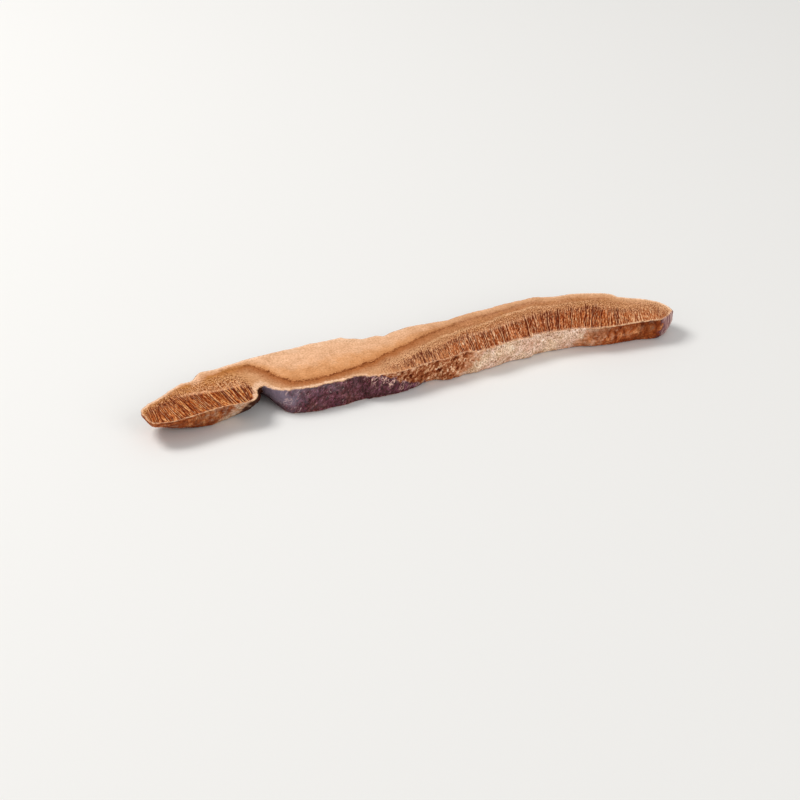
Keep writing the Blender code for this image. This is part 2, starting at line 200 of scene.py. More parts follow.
# The skins change along slanted borders: x of the pore edge, how far they lean over its height.
SKIN_LEAN = (
    (-65, 0), (-50, 2), (-46, 4.5), (-42, 4.5), (-39, 1), (-34, 0), (-20, 0), (-14, -5), (-10, -13),
    (3, -13), (8, 0), (11, 4.8), (18, 4.8), (30, 6), (44, 6), (50, 3), (58, 0), (65, 0))

TORN_DEPTH = 0.54          # pits and ledges of the torn skin
BULGE = 0.5                # both walls swell a little between the cut faces
GROWTH_RIDGE = 0.55        # growth ridges of the crust, which cross the wall from face to face
WARP = 0.2                 # the upper face sinks in broad dips, at most this much
WARP_LENGTH = 14.0         # about as wide as a dip
TUBE_SINK = 0.22           # the tube layer shrinks most as it dries, below the flesh
DEEPEST_TUBE = 0.2         # how far an opened tube is cut into the layer
TIP_FADE = 1.8             # tubes nearer than this to a tip are shallow
TUBE_SPACING = (0.32, 0.72)  # least and most from one whole tube to the next
SHORT_TUBES = 1500         # scattered openings that are a small part of a tube long
PAST_END = 0.2             # how far a whole tube runs past the pore edge
LOWEST_BEND = 0.8          # where the grain bends at the latest, as a share of the way across

# ---- the view ------------------------------------------------
LENS = 100.0               # millimetres, on a sensor 36 mm wide
VIEW_ROUND = -19.4         # degrees round to the left of the slice's own front
VIEW_UP = 32.0             # degrees above its cut face
VIEW_DISTANCE = 0.5036     # metres
LOOK_AT = (-0.00656, -0.01216, 0.0)


# ---- curves and random relief --------------------------------
def eased(t):
    """From 0 to 1 with a gentle start and end."""
    return t * t * (3 - 2 * t)


def fade(value, low, high):
    """0 at low, 1 at high, smooth between."""
    return eased(np.clip((value - low) / (high - low), 0.0, 1.0))


def curve_through(knots, values, at):
    """Smooth curve through the given values that never overshoots them."""
    step = np.diff(knots)
    slope = np.diff(values) / step
    before, after = slope[:-1], slope[1:]
    same_way = before * after > 0
    weight_a = 2 * step[1:] + step[:-1]
    weight_b = step[1:] + 2 * step[:-1]
    safe_a = np.where(same_way, before, 1.0)
    safe_b = np.where(same_way, after, 1.0)
    middle = (weight_a + weight_b) / (weight_a / safe_a + weight_b / safe_b)
    tangent = np.concatenate((slope[:1], np.where(same_way, middle, 0.0), slope[-1:]))
    at = np.clip(at, knots[0], knots[-1])
    i = np.clip(np.searchsorted(knots, at) - 1, 0, len(step) - 1)
    t = (at - knots[i]) / step[i]
    leave = t * (1 - t) ** 2 * step[i] * tangent[i]
    arrive = t * t * (t - 1) * step[i] * tangent[i + 1]
    return values[i] * (1 - eased(t)) + values[i + 1] * eased(t) + leave + arrive


def keyed(table, column, at):
    """One column of a table of listed values, read at the given places."""
    table = np.array(table, float)
    return curve_through(table[:, 0], table[:, column], at)


def lumps(x, y, z, size, seed):
    """Soft random lumps between -1 and 1, about the given size across, at every point."""
    cells = np.array((512, 32, 16))
    lattice = np.random.default_rng(seed).uniform(-1.0, 1.0, cells)
    place = np.stack(np.broadcast_arrays(x, y, z), -1) / size
    corner = np.floor(place).astype(int)
    t = eased(place - corner)
    total = np.zeros(place.shape[:-1])
    for step in np.ndindex(2, 2, 2):
        share = np.prod(np.where(step, t, 1 - t), axis=-1)
        i, j, k = np.moveaxis((corner + step) % cells, -1, 0)
        total += share * lattice[i, j, k]
    return total


def rough(x, y, z, size, seed):
    """Lumps with two finer sets of lumps on them."""
    return (lumps(x, y, z, size, seed) + 0.5 * lumps(x, y, z, size / 2.1, seed + 1)
            + 0.25 * lumps(x, y, z, size / 4.3, seed + 2))


def away_from(points, line):
    """Distance of every point from a line, of which every second point is near enough."""
    nearest = np.full(points.shape[:-1], np.inf)
    for place in line[::2]:
        nearest = np.minimum(nearest, np.hypot(*np.moveaxis(points - place, -1, 0)))
    return nearest


# ---- the slice's surface -------------------------------------
def facing(edge, side):
    """Unit directions out of the slice along one of its edges: side 1 is the crust, -1 the pores."""
    along = np.gradient(edge, axis=0)
    across = side * np.stack((-along[:, 1], along[:, 0]), 1)
    return across / np.hypot(*across.T)[:, None]


def grain_lines():
    """Place along the slice, crust-edge point and pore-edge point of every cross-section."""
    lines = np.array(GRAIN_LINES)
    step = np.diff(lines, axis=0)
    longest = np.maximum(np.hypot(*step[:, :2].T), np.hypot(*step[:, 2:].T))
    knots = np.concatenate(([0.0], np.cumsum(longest)))
    along = np.linspace(0.0, knots[-1], SECTIONS)
    edges = np.stack([curve_through(knots, column, along) for column in lines.T], 1)
    return along, edges[:, :2], edges[:, 2:]


def opened_tubes(along, crust_x, below_start, length, seed):
    """Tubes that the knife laid open: how deep each point lies in one, and how far on its lip."""
    chance = np.random.default_rng(seed)
    depth = np.zeros(below_start.shape)
    lip = np.zeros(below_start.shape)

    def open_one(middle, half_width, deep, begin, end):
        """Lays one tube open on the cross-sections that it comes near."""
        near = np.abs(along - middle) < 5 * half_width + 0.4
        if not near.any():
            return
        down = below_start[near]
        sway = 0.10 * np.sin(down * chance.uniform(0.5, 1.1) + chance.uniform(0, 6.3))
        across = (along[near][:, None] - middle - sway) / half_width
        inside = deep * fade(down, begin, begin + 0.5) * (1 - fade(down, end - 0.5, end))
        depth[near] = np.maximum(depth[near], inside * np.exp(-across ** 2))
        off_lip = (across - chance.choice((-1.0, 1.0)) * 1.9) / 0.8
        lip[near] = np.maximum(lip[near], inside * np.exp(-off_lip ** 2))

    for crust_place, half_width in LONG_TUBES:
        place = np.interp(crust_place, crust_x, along)
        open_one(place, half_width, 1.0, 0.1, np.interp(place, along, length) + PAST_END)
    # Whole tubes, side by side, which lie deeper and shallower by turns.
    place = along[0]
    strong = 1.0
    while place < along[-1]:
        place += chance.uniform(*TUBE_SPACING)
        reach = np.interp(place, along, length)
        strong = np.clip(strong + chance.normal(0, 0.25), 0.4, 1.1)
        if reach > 1.2:
            deep = min(1.0, strong * chance.uniform(0.3, 1.05))
            begin = chance.choice((chance.uniform(-0.9, 0.8), chance.uniform(0.5, 2.8)))
            end = reach + chance.choice((PAST_END, PAST_END, PAST_END, -0.3, -chance.uniform(0.5, 2.5)))
            open_one(place, chance.uniform(0.07, 0.12), deep, begin, max(end, begin + 1.0))
    # Short openings, scattered.
    for _ in range(SHORT_TUBES):
        place = chance.uniform(along[0], along[-1])
        reach = np.interp(place, along, length)
        begin = abs(chance.normal(0.3, 1.3))
        if chance.random() < 0.4:
            begin = chance.uniform(0, max(reach, 0.1))
        end = min(begin + chance.uniform(0.7, 2.0), reach + PAST_END)
        if reach > 0.6:
            half_width = chance.uniform(0.07, 0.11)
            open_one(place, half_width, chance.uniform(0.25, 0.8), begin, end)
    return depth, lip


def face_fields(along, crust, pore, rows, seed):
    """Points across one cut face, and what the flesh is like at each of them."""
    share = np.linspace(0.0, 1.0, rows)
    share = share - 0.08 * np.sin(2 * np.pi * share)
    crust_x = crust[:, 0]
    width = np.hypot(*(pore - crust).T)[:, None]

    def on_crust(table, column=1):
        """A column of a table, read where each cross-section meets the crust."""
        return keyed(table, column, crust_x)[:, None]

    start, lean = on_crust(TUBE_START), on_crust(TUBE_LEAN)
    bend = np.minimum(start, LOWEST_BEND * width)

    def down_grain(below):
        """Points that far below the crust: the grain leans until the tubes start, then comes back."""
        aside = lean * np.minimum(fade(below, 0.0, bend), (width - below) / (width - bend))
        place = crust[:, None] + (below / width)[..., None] * (pore - crust)[:, None]
        place[..., 0] -= aside
        return place

    def down_to(table):
        """How far below the crust a line lies on each cross-section, and its points."""
        reach = np.minimum(on_crust(table), width)
        return reach, down_grain(reach)[:, 0]

    below = share * width
    points = down_grain(below)
    x, y = points[..., 0], points[..., 1]
    # The tube layer: it starts unevenly, fades in and is missing in the thick middle and at the tips.
    start = start + 0.25 * lumps(along[:, None], 0, 0, 2.6, seed)
    below_start = below - start
    length = (width - start)[:, 0]
    tip = fade(HALF_LENGTH - np.abs(x), 0.3, TIP_FADE)
    onset = 1.4 + 1.2 * fade(crust_x, 20.0, 36.0)[:, None]
    thinning = np.where(crust_x < -20.0, 1.0, fade(crust_x, -12.0, 2.0))
    tube_reach = (fade(length, 0.2, 2.2) * thinning)[:, None] * tip
    opened, lip = opened_tubes(along, crust_x, below_start, length, seed)
    opened = opened * (1 - 0.5 * fade(crust_x, 48.0, 60.0))[:, None]

    # What the finish of the cut reads at each point.
    line_depth, line = down_to(GROWTH_LINE)
    old_depth, old = down_to(OLD_LAYER)
    from_line = away_from(points, line) * np.sign(line_depth - below)
    from_old = away_from(points, old) + 0.12 * lumps(x, y, seed, 1.2, seed + 2)
    line_strength, old_strength = on_crust(GROWTH_LINE, 2), on_crust(OLD_LAYER, 2)
    edge_width, edge_strength = (keyed(PORE_LINE, c, pore[:, 0])[:, None] for c in (1, 2))
    before_old = 1 - old_strength * fade(old_depth - below, -0.5, 0.0)
    fields = {
        "from_crust": away_from(points, crust),
        "rim_width": on_crust(CREAM_RIM),
        "line": from_line,
        "line_strength": line_strength,
        "band_strength": on_crust(BAND),
        "light_line": away_from(points, down_to(LIGHT_LINE)[1]),
        "light_strength": on_crust(LIGHT_LINE, 2),
        "pale_flesh": on_crust(PALE_FLESH),
        "corkiness": fade(below, 1.0, 2.5) * (1 - on_crust(PALE_FLESH)),
        "flesh_share": np.clip(below / np.maximum(line_depth, 0.3), 0.0, 3.0),
        "edge": away_from(points, pore) / edge_width,
        "edge_strength": edge_strength,
        "bright_edge": on_crust(BRIGHT_EDGE),
        "old_line": old_strength * np.exp(-(from_old / 0.32) ** 2),
        "old_tubes": old_strength * fade(old_depth - below, -0.1, 0.4),
        "tube": fade(below_start, -0.6, onset) * tube_reach,
        "tube_depth": below_start,
        "tube_reach": tube_reach,
        "opened": opened * tube_reach * before_old,
        "lip": lip * tube_reach,
    }
    fields = {name: np.broadcast_to(value, x.shape) for name, value in fields.items()}
    # How far the face has sunk: the tubes most, then the uneven flesh and the growth line.
    fibres = lumps(along[:, None], below_start / 14.0, seed, 0.24, seed + 5)
    at_edge = 1 - 0.6 * fade(below_start - length[:, None], -1.2, -0.1)
    sink = TUBE_SINK * fade(below_start, -0.3, 0.8) * at_edge
    relief = (sink + 0.05 * fibres) * tube_reach + DEEPEST_TUBE * fields["opened"] - 0.05 * fields["lip"]
    relief += 0.045 * (1 + rough(x, y, seed, 1.5, seed + 8)) * (1 - 0.5 * fields["tube"])
    relief += 0.06 * line_strength * np.exp(-(from_line / 0.4) ** 2) - 0.07 * fields["old_line"]
    return points, relief, fields


def near_skins(edge_x, down):
    """How much of each skin shows on the near wall, whose borders lean and wander."""
    lean = keyed(SKIN_LEAN, 1, edge_x)[:, None] * (down - 0.5)
    wander = 1.3 * rough(edge_x[:, None], 0, THICKNESS * down, 2.4, 71)
    place = edge_x[:, None] + lean + wander
    return [keyed(NEAR_WALL, column, place) for column in range(1, len(SKINS) + 1)]


def torn_height(x, z):
    """Pits and slanting ledges of torn skin, between about -1 and 1."""
    pits = rough(x, 0, 1.6 * z, 1.5, 5)
    ledges = 1 - 2.4 * np.abs(lumps(x - 1.2 * z, 0, 0.35 * (x + z), 0.75, 14))
    chips = 1 - 2.4 * np.abs(rough(x, 7, 1.3 * z, 0.55, 9))
    return 0.3 * pits + 0.35 * ledges + 0.35 * chips


def near_wall_relief(x, z, skins):
    """How far the near wall stands out: smooth crust, torn skin or finely uneven pore skin."""
    crust, torn = skins[:2]
    swell = 0.3 * lumps(x, 0, z, 4.0, 21)
    wrinkle = 0.08 * rough(x, 0, z, 1.1, 23) * (1 - torn)
    grain = 0.03 * rough(x, 0, z, 0.5, 26) * (1 - crust)
    return TORN_DEPTH * torn * torn_height(x, z) + swell + wrinkle + grain


def far_wall_relief(x, z):
    """Growth ridges across the crust, unevenly spaced, with wrinkles on them."""
    ridge = 0.4 - np.abs(lumps(x + 0.25 * z, 0, 0.3 * z, 3.6, 33))
    wrinkle = 0.5 - np.abs(lumps(x + 0.1 * z, 0, 0.35 * z, 0.9, 37))
    return GROWTH_RIDGE * ridge + 0.16 * wrinkle + 0.2 * lumps(x, 0, z, 1.7, 44)


def down_wall(rows):
    """Share of the way down a wall for each row of points, closer together at the edges."""
    return (0.5 - 0.5 * np.cos(np.pi * (np.arange(rows) + 0.5) / rows))[None, :]


def foot_under(edge, table):
    """The foot of a wall under its upper edge, and how far it curls up from the table."""
    shift = np.stack([keyed(table, column, edge[:, 0]) for column in (1, 2)], 1)
    return edge + shift, keyed(CURL, 1, edge[:, 0])


def wall(edge, foot, outward, top, lift, share, relief):
    """Points of one wall from its upper edge to its foot."""
    height = top[:, None] * (1 - share) + lift[:, None] * share
    tall = (top - lift)[:, None]
    to_edge = np.minimum(np.minimum(share, 1 - share) * tall / EDGE_ROUND, 1)
    worn = EDGE_ROUND * (1 - np.sqrt(1 - (1 - to_edge) ** 2))
    x = np.broadcast_to(edge[:, None, 0], height.shape)
    middle = np.sin(np.pi * share)
    out = middle * BULGE + middle ** 0.5 * relief(x, height) - worn
    place = edge[:, None] + share[..., None] * (foot - edge)[:, None] + outward[:, None] * out[..., None]
    return np.concatenate((place, height[..., None]), -1)


def ringed(*parts):
    """Upper face, near wall, lower face and far wall joined into rings: the last two run back."""
    upper, near, lower, far = (np.broadcast_to(part, (SECTIONS, rows, *np.shape(part)[2:]))
                               for part, rows in zip(parts, ROWS))
    return np.concatenate((upper, near, lower[:, ::-1], far[:, ::-1]), 1)


def slice_surface():
    """All points of the slice, ring by ring, with the fields that its finish reads."""
    along, crust, pore = grain_lines()
    crust_out, pore_out = facing(crust, 1), facing(pore, -1)
    near_share, far_share = down_wall(NEAR_ROWS), down_wall(FAR_ROWS)
    skins = near_skins(pore[:, 0], near_share)
    torn_edge = skins[1][:, 0]
    ragged_crust = 0.07 * rough(crust[:, 0], crust[:, 1], 0, 1.3, 60)
    ragged_pore = (0.07 + 0.12 * torn_edge) * rough(pore[:, 0], pore[:, 1], 0, 0.9, 63)
    crust = crust + crust_out * ragged_crust[:, None]
    pore = pore + pore_out * ragged_pore[:, None]
    crust_foot, crust_lift = foot_under(crust, CRUST_FOOT)
    pore_foot, pore_lift = foot_under(pore, PORE_FOOT)

    worn_crust, worn_pore = EDGE_ROUND * crust_out, EDGE_ROUND * pore_out
    upper, sunk, fields = face_fields(along, crust - worn_crust, pore - worn_pore, FACE_ROWS, 100)
    lower, raised, lower_fields = face_fields(
        along, crust_foot - worn_crust, pore_foot - worn_pore, LOWER_ROWS, 200)
    dips = WARP * np.maximum(0.0, lumps(upper[..., 0], upper[..., 1], 0, WARP_LENGTH, 50))
    upper_z = THICKNESS - dips - sunk
    lower_z = np.linspace(crust_lift, pore_lift, LOWER_ROWS, axis=1) + raised

    near = wall(pore, pore_foot, pore_out, upper_z[:, -1], lower_z[:, -1], near_share,
                lambda x, z: near_wall_relief(x, z, skins))
    far = wall(crust, crust_foot, crust_out, upper_z[:, 0], lower_z[:, 0], far_share, far_wall_relief)
    upper = np.concatenate((upper, upper_z[..., None]), -1)
    lower = np.concatenate((lower, lower_z[..., None]), -1)
    points = ringed(upper, near, lower, far)

    values = {name: ringed(value, 0, lower_fields[name], 0) for name, value in fields.items()}
    values |= {name: ringed(0, skin, 0, far_skin) for name, skin, far_skin in zip(SKINS, skins, FAR_SKIN)}
    near_x = np.broadcast_to(pore[:, :1], near.shape[:2])
    values["proud"] = ringed(0, torn_height(near_x, near[..., 2]), 0, 0.5)
    values["down"] = ringed(0, near_share, 0, far_share)
    values["far_side"] = ringed(0, 0, 0, 1)
    step = np.linalg.norm(np.diff(points, axis=1, append=points[:, :1]), axis=-1)
    round_ring = np.concatenate((np.zeros((SECTIONS, 1)), np.cumsum(step, axis=1)), 1)
    return points, values, along, round_ring


def foot_middle(low, high):
    """The point in the middle of a box's foot, from the box's two corners."""
    return np.array(((low[0] + high[0]) / 2, (low[1] + high[1]) / 2, low[2]))


def sliced_cap(cut_finish, skin_finish):
    """The slice: a grid wrapped round its cross-sections, closed along one seam and at both tips."""
    points, values, along, round_ring = slice_surface()
    middle = foot_middle(points.min(axis=(0, 1)), points.max(axis=(0, 1)))
    points = (points - middle) * MM + foot_middle(*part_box("reishi_slice"))
    bpy.ops.object.select_all(action="DESELECT")
    bpy.ops.mesh.primitive_grid_add(x_subdivisions=SECTIONS - 1, y_subdivisions=RING, size=2)
    piece = bpy.context.object
    piece.name = "sliced_cap"
    mesh = piece.data
    flat = np.empty(len(mesh.vertices) * 3)
    mesh.vertices.foreach_get("co", flat)
    x, y = (flat.reshape(-1, 3).T[:2] + 1) / 2
    section = np.rint(x * (SECTIONS - 1)).astype(int)
    row = RING - np.rint(y * RING).astype(int)
    mesh.vertices.foreach_set("co", points[section, row % RING].ravel())
    for name, value in values.items():
        layer = mesh.attributes.new(name, "FLOAT", "POINT")
        layer.data.foreach_set("value", value[section, row % RING].astype(np.float32))

    # The grain's own map: how far along the slice and how far round it.
    corner = np.empty(len(mesh.loops), int)
    mesh.loops.foreach_get("vertex_index", corner)
    grain = mesh.uv_layers[0]
    grain.name = "grain"
    across = np.stack((along[section[corner]], round_ring[section[corner], row[corner]]), 1) / CM
    grain.data.foreach_set("uv", across.ravel())

    # Both cut faces take one finish, and the walls between them take the other.
    first_corner = np.empty(len(mesh.polygons), int)
    mesh.polygons.foreach_get("loop_start", first_corner)
    lowest = np.minimum.reduce([row[corner[first_corner + k]] for k in range(4)])
    lower_start = FACE_ROWS + NEAR_ROWS
    on_upper = lowest < FACE_ROWS - 1
    on_lower = (lowest >= lower_start) & (lowest < lower_start + LOWER_ROWS - 1)
    mesh.materials.clear()
    mesh.materials.append(cut_finish)
    mesh.materials.append(skin_finish)
    mesh.polygons.foreach_set("material_index", np.where(on_upper | on_lower, 0, 1).astype(np.int32))

    # The seam is merged and both tips are closed.
    bpy.ops.object.mode_set(mode="EDIT")
    bpy.ops.mesh.select_all(action="SELECT")
    bpy.ops.mesh.remove_doubles(threshold=1e-7)
    bpy.ops.mesh.select_all(action="DESELECT")
    bpy.ops.mesh.select_mode(type="EDGE")
    bpy.ops.mesh.select_non_manifold(extend=False, use_wire=False, use_boundary=True,
                                     use_multi_face=False, use_non_contiguous=False, use_verts=False)
    bpy.ops.mesh.fill_holes(sides=0)
    piece.active_material_index = 1
    bpy.ops.object.material_slot_assign()
    bpy.ops.mesh.select_all(action="DESELECT")
    bpy.ops.object.mode_set(mode="OBJECT")
    bpy.ops.object.shade_smooth()
    return piece


# ---- nodes ---------------------------------------------------
# A node goes into the tree of the socket that feeds it. Colours are as on a screen, 0 to 255.
def srgb(*colour):
    """A screen colour as the linear colour that a shader needs."""
    share = np.array(colour) / 255
    linear = np.where(share <= 0.04045, share / 12.92, ((share + 0.055) / 1.055) ** 2.4)
    return (*linear, 1.0)


def feed(value, socket):
    """Sets a socket to a value or a screen colour, or links it to the socket that it comes from."""
    if isinstance(value, bpy.types.NodeSocket):
        socket.id_data.links.new(value, socket)
    elif socket.type == "RGBA":
        socket.default_value = srgb(*value)
    else:
        socket.default_value = value


def set_up(node, **inputs):
    """Each named input of a node set to a value or fed from a socket."""
    for name, value in inputs.items():
        feed(value, node.inputs[name.replace("_", " ")])
    return node


def put(tree, kind, settings=None, **inputs):
    """A node with its settings and its inputs."""
    made = tree.nodes.new("ShaderNode" + kind)
    for name, value in (settings or {}).items():
        setattr(made, name, value)
    return set_up(made, **inputs)


def reckon(operation, *values):
    """A sum on one, two or three numbers, of which at least one comes from a socket."""
    tree = next(value.id_data for value in values if isinstance(value, bpy.types.NodeSocket))
    made = put(tree, "Math", {"operation": operation})
    for value, socket in zip(values, made.inputs):
        feed(value, socket)
    return made.outputs[0]


def plus(first, second):
    """Two numbers added."""
    return reckon("ADD", first, second)


def minus(first, second):
    """The second number taken from the first."""
    return reckon("SUBTRACT", first, second)


def most(first, second):
    """The greater of two numbers."""
    return reckon("MAXIMUM", first, second)


def times(product, *factors):
    """Several numbers multiplied."""
    for factor in factors:
        product = reckon("MULTIPLY", product, factor)
    return product


def nudged(value, push, by):
    """A value moved by another one, which counts so many times."""
    return reckon("MULTIPLY_ADD", push, by, value)


def between(value, low, high, to_low=0.0, to_high=1.0):
    """Moves a value smoothly from one range to another, and holds it there outside."""
    return put(value.id_data, "MapRange", {"interpolation_type": "SMOOTHSTEP"}, Value=value,
               From_Min=low, From_Max=high, To_Min=to_low, To_Max=to_high).outputs[0]


def mixed(share, first, second, way="MIX"):
    """Two colours mixed by a share."""
    made = put(first.id_data, "Mix", {"data_type": "RGBA", "blend_type": way})
    for place, value in ((0, share), (6, first), (7, second)):
        feed(value, made.inputs[place])
    return made.outputs[2]


def tinted(first, second):
    """Two colours multiplied."""
    return mixed(1.0, first, second, "MULTIPLY")


def layered(colour, *layers):
    """A colour with others laid over it in turn: how much of each, and its colour."""
    for share, over in layers:
        colour = mixed(share, colour, over)
    return colour


def banded(value, *stops):
    """A colour that changes with a value: stops are value, red, green and blue, lowest first."""
    low, high = stops[0][0], stops[-1][0]
    made = put(value.id_data, "ValToRGB")
    ramp = made.color_ramp
    while len(ramp.elements) < len(stops):
        ramp.elements.new(1.0)
    for element, (at, *colour) in zip(ramp.elements, stops):
        element.position = (at - low) / (high - low)
        element.color = srgb(*colour)
    scaled = put(value.id_data, "MapRange", None, Value=value, From_Min=low, From_Max=high)
    feed(scaled.outputs[0], made.inputs[0])
    return made.outputs[0]


def noisy(vector, scale, detail=3.0, roughness=0.5, distortion=0.0):
    """Fine random variation between 0 and 1."""
    return put(vector.id_data, "TexNoise", None, Vector=vector, Scale=scale, Detail=detail,
               Roughness=roughness, Distortion=distortion).outputs[0]


def stretched(vector, lengths, turned=(0.0, 0.0, 0.0)):
    """Coordinates turned, then drawn out along each axis, so that a pattern on them is longer there."""
    return put(vector.id_data, "Mapping", {"vector_type": "TEXTURE"}, Vector=vector, Scale=lengths,
               Rotation=turned).outputs[0]


def bumped(shader, height, strength, distance):
    """Low relief that only the light sees."""
    bump = put(shader.id_data, "Bump", None, Strength=strength, Distance=distance, Height=height)
    set_up(shader, Normal=bump.outputs[0])


def group(name, usual, results):
    """An empty node group that takes a place and some numbers, with their usual values."""
    tree = bpy.data.node_groups.new(name, "ShaderNodeTree")
    tree.interface.new_socket("Place", in_out="INPUT", socket_type="NodeSocketVector")
    for number, value in usual.items():
        socket = tree.interface.new_socket(number, in_out="INPUT", socket_type="NodeSocketFloat")
        socket.default_value = value
    for result, kind in results.items():
        tree.interface.new_socket(result, in_out="OUTPUT", socket_type="NodeSocket" + kind)
    return tree, tree.nodes.new("NodeGroupInput").outputs, tree.nodes.new("NodeGroupOutput").inputs


def place_group(used, **inputs):
    """A group placed in a material, with its own values."""
    made = put(inputs["Place"].id_data, "Group", {"node_tree": used}, **inputs)
    return made.outputs


def new_material(name):
    """A material, its shader, the slice's own coordinates, the one along it and a way to its fields."""
    material = bpy.data.materials.new(name)
    material.use_nodes = True
    tree = material.node_tree
    place = put(tree, "TexCoord").outputs["Object"]
    along = put(tree, "SeparateXYZ", None, Vector=place).outputs[0]

    def field(field_name):
        """One of the values that the slice's surface carries."""
        return put(tree, "Attribute", {"attribute_name": field_name}).outputs["Fac"]

    return material, tree.nodes["Principled BSDF"], place, along, field


# ---- effects that are used more than once --------------------
def mottling_group():
    """Soft patches and fine grain: how much lighter or darker a dry skin is from place to place."""
    tree, given, result = group(
        "dry_mottling", {"Patches per metre": 300.0, "Grains per metre": 2500.0,
                         "Patch contrast": 0.2, "Grain contrast": 0.2},
        {"Shade": "Color", "Patches": "Float", "Grains": "Float"})
    patches = noisy(given["Place"], given["Patches per metre"], 4.0, 0.55)
    grains = noisy(given["Place"], given["Grains per metre"], 2.0, 0.6)
    soft = times(minus(patches, 0.5), given["Patch contrast"], 4.0)
    fine = times(minus(grains, 0.5), given["Grain contrast"], 4.0)
    level = most(plus(plus(soft, fine), 1.0), 0.05)
    shade = put(tree, "CombineColor", None, Red=reckon("POWER", level, 0.8), Green=level,
                Blue=reckon("POWER", level, 1.3))
    for name, socket in (("Shade", shade.outputs[0]), ("Patches", patches), ("Grains", grains)):
        feed(socket, result[name])
    return tree


def curls_group():
    """Thin pale curls and threads, in scattered patches: 1 on a thread."""
    tree, given, result = group(
        "pale_threads", {"Threads per metre": 600.0, "Patches per metre": 250.0, "Cover": 0.5,
                         "Width": 0.02}, {"Thread": "Float"})
    winding = noisy(given["Place"], given["Threads per metre"], 2.0, 0.6, 0.6)
    off_centre = reckon("ABSOLUTE", minus(winding, 0.5))
    thread = between(off_centre, given["Width"], times(given["Width"], 0.2))
    patches = noisy(given["Place"], given["Patches per metre"], 3.0, 0.6)
    low = nudged(0.7, given["Cover"], -0.4)
    feed(times(thread, between(patches, low, plus(low, 0.08))), result["Thread"])
    return tree


